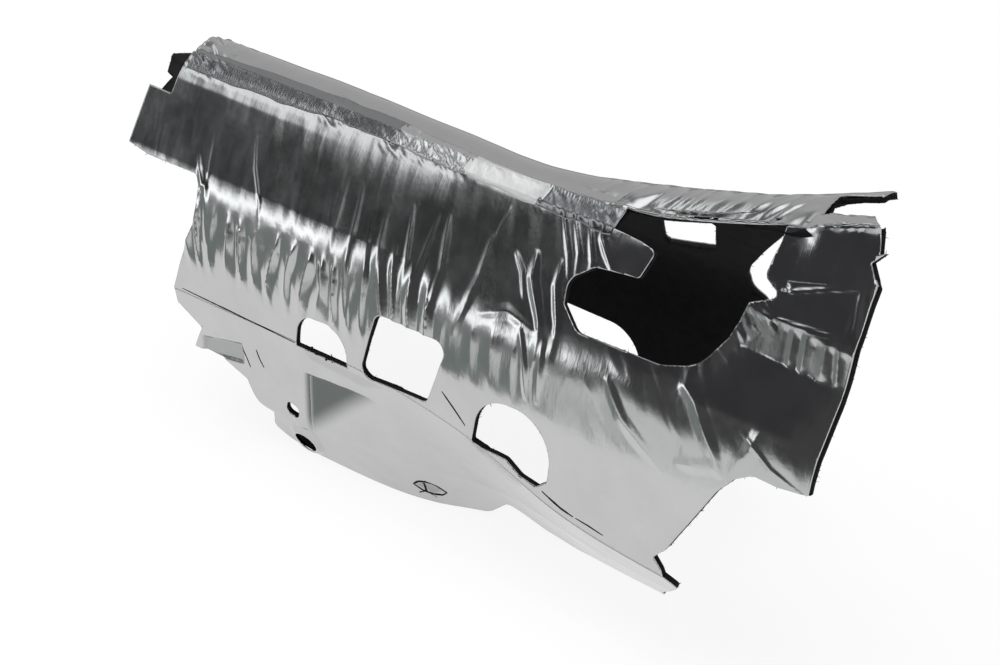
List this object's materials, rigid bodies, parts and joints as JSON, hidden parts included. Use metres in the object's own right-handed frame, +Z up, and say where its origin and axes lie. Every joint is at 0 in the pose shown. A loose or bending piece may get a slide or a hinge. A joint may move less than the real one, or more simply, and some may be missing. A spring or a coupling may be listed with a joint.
{
  "type": "transmission housing insulator",
  "caption": "Moulded felt heat and noise shield with a crumpled foil facing that wraps the upper side of a gearbox housing.",
  "frame": {"origin": "middle of the overall box, at the level that the lower rims stand on", "axes": "+X along the gearbox to its bell housing end, -Y is the outer side that shows, +Z up"},
  "size_m": [0.701, 0.2528, 0.3714],
  "materials": {
    "felt": "black needled fibre felt, fuzzy at its cut edges",
    "foil": "thin aluminium foil, crumpled and creased",
    "tape": "aluminium foil tape, crimped along its edges"
  },
  "bodies": {
    "root": {"felt_backing": "felt", "foil_facing": "foil", "seam_tape_1": "tape", "seam_tape_2": "tape", "seam_tape_3": "tape", "seam_tape_4": "tape", "seam_tape_5": "tape", "tape_patch": "tape"}
  },
  "joints": []
}
